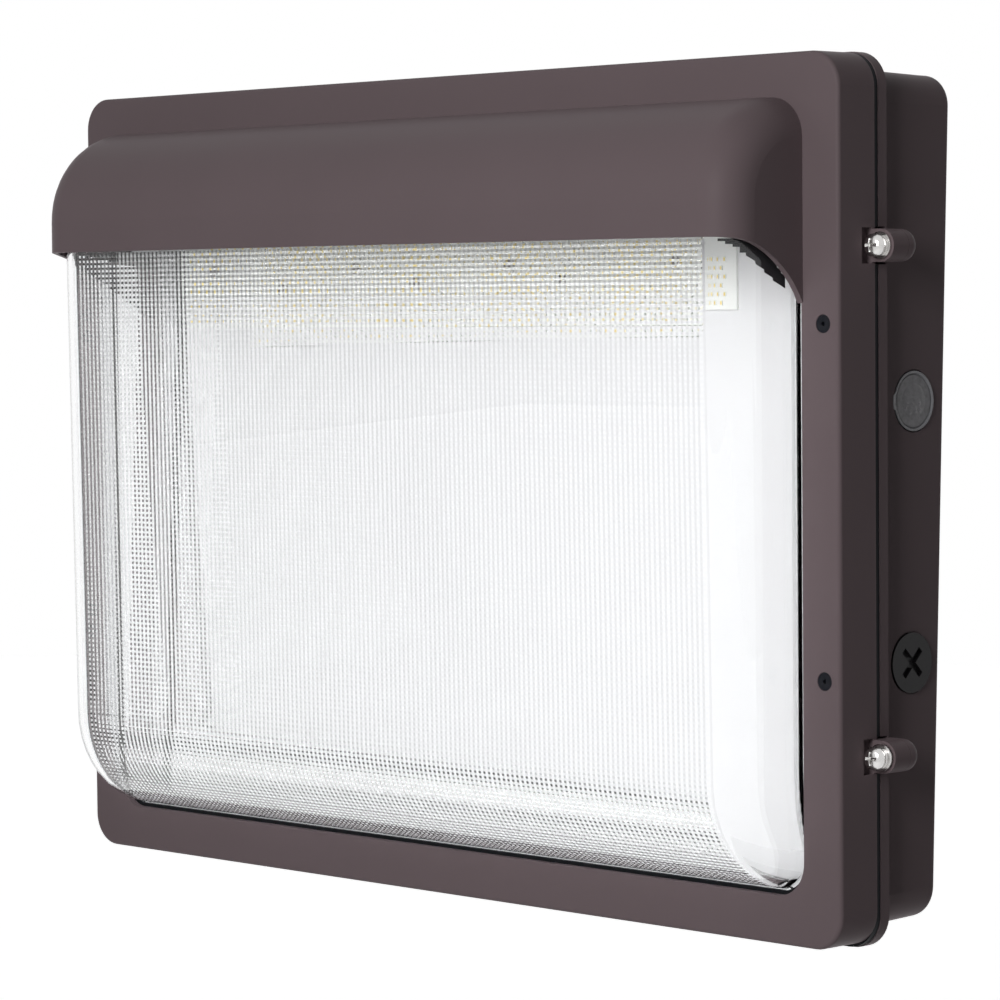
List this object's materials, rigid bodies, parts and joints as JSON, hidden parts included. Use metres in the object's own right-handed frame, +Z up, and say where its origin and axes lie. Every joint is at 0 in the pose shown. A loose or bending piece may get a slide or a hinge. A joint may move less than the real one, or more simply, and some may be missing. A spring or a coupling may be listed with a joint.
{
  "type": "wall pack light",
  "caption": "Box-shaped outdoor wall light with a hinged cast door, rain hood, prismatic clear cover, light board, driver and side photocell.",
  "frame": {"origin": "centre of the flat back face that lies on the wall", "axes": "+Z up, +Y into the wall, so the light looks along -Y; +X to the right seen from the front, the side with the captive screws and the photocell"},
  "size_m": [0.4207, 0.1016, 0.302],
  "materials": {
    "bronze_coat": "dark bronze satin powder coat on die-cast aluminium",
    "clear_cover": "clear moulded plastic with prisms inside",
    "seal_rubber": "matt",
    "white_tray": "white gloss paint",
    "board_white": "white solder mask",
    "led_yellow": "phosphor",
    "black_screw": "black oxide",
    "steel": "stainless",
    "driver_metal": "satin",
    "driver_plastic": "matt",
    "terminal_plastic": "matt",
    "terminal_brass": "plain",
    "earth_green": "green",
    "plug_plastic": "matt",
    "photocell_clear": "smoky clear",
    "bush_rubber": "matt"
  },
  "bodies": {
    "housing": {"rear_housing": "bronze_coat", "housing_gasket": "seal_rubber", "wire_grommet": "bush_rubber", "driver_case": "driver_metal", "driver_end_caps": "driver_plastic", "driver_screws": "steel", "terminal_block": "terminal_plastic", "terminal_screws": "terminal_brass", "earth_screw": "earth_green", "hinge_pins": "steel", "conduit_plugs": "plug_plastic", "photocell": "photocell_clear", "photocell_seal": "seal_rubber", "photocell_nut": "driver_plastic"},
    "door": {"front_door": "bronze_coat", "lens": "clear_cover", "lens_gasket": "seal_rubber", "reflector_tray": "white_tray", "led_board": "board_white", "led_rows": "led_yellow", "face_screws": "black_screw", "tray_screws": "steel", "board_screws": "steel"},
    "upper_screw": {"upper_captive_screw": "steel", "upper_flat_washer": "steel", "upper_spring_washer": "steel"},
    "lower_screw": {"lower_captive_screw": "steel", "lower_flat_washer": "steel", "lower_spring_washer": "steel", "lower_star_washer": "steel"}
  },
  "joints": [
    {"name": "door_hinge", "type": "hinge", "parent": "housing", "child": "door", "pos_m": [-0.206, -0.03948, -0.00138], "axis": [0, 0.0349, -0.9994], "range_deg": [0, 110]},
    {"name": "upper_screw_out", "type": "slide", "parent": "door", "child": "upper_screw", "axis": [0, -0.9994, -0.0349], "range_m": [0, 0.0028]},
    {"name": "lower_screw_out", "type": "slide", "parent": "door", "child": "lower_screw", "axis": [0, -0.9994, -0.0349], "range_m": [0, 0.0028]}
  ]
}
